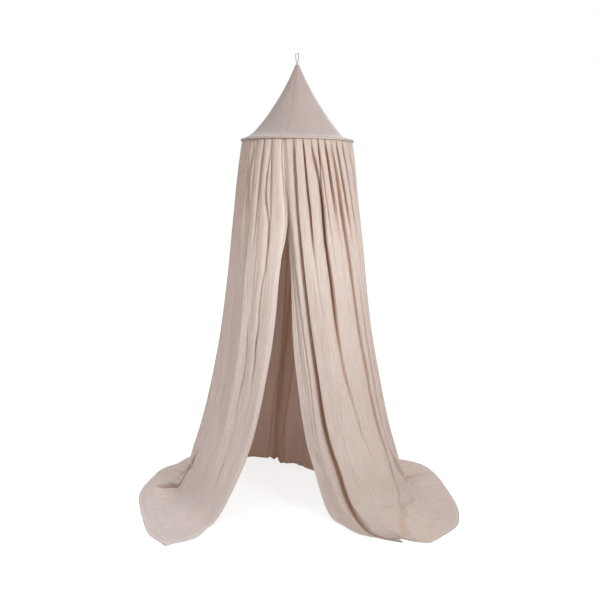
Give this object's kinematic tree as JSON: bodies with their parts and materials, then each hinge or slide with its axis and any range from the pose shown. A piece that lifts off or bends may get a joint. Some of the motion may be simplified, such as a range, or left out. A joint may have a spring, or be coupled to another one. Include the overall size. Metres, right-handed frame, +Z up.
{
  "type": "mosquito net canopy with hoop",
  "caption": "Hanging canopy: a cone of smooth cloth over a round hoop, with a long gathered muslin skirt that opens at the front and trails on the floor.",
  "frame": {"origin": "the inside top of the tape loop, where a ceiling hook carries the canopy", "axes": "+Z up, the open front looks along -Y, +X to the right of someone who faces the front"},
  "size_m": [1.5347, 1.2204, 2.0716],
  "materials": {
    "tape": "narrow woven cotton tape, pale beige",
    "smooth_cotton": "smooth plain-woven cotton, dusty beige pink, matt",
    "hoop_steel": "plain drawn rod",
    "casing_cotton": "smooth plain-woven cotton, pale beige, matt",
    "crinkled_muslin": "fine crinkled muslin, dusty beige pink, slightly sheer, matt"
  },
  "bodies": {
    "root": {"hanging_loop": "tape", "crown": "smooth_cotton", "hoop": "hoop_steel", "hoop_casing": "casing_cotton", "skirt": "crinkled_muslin"}
  },
  "joints": []
}
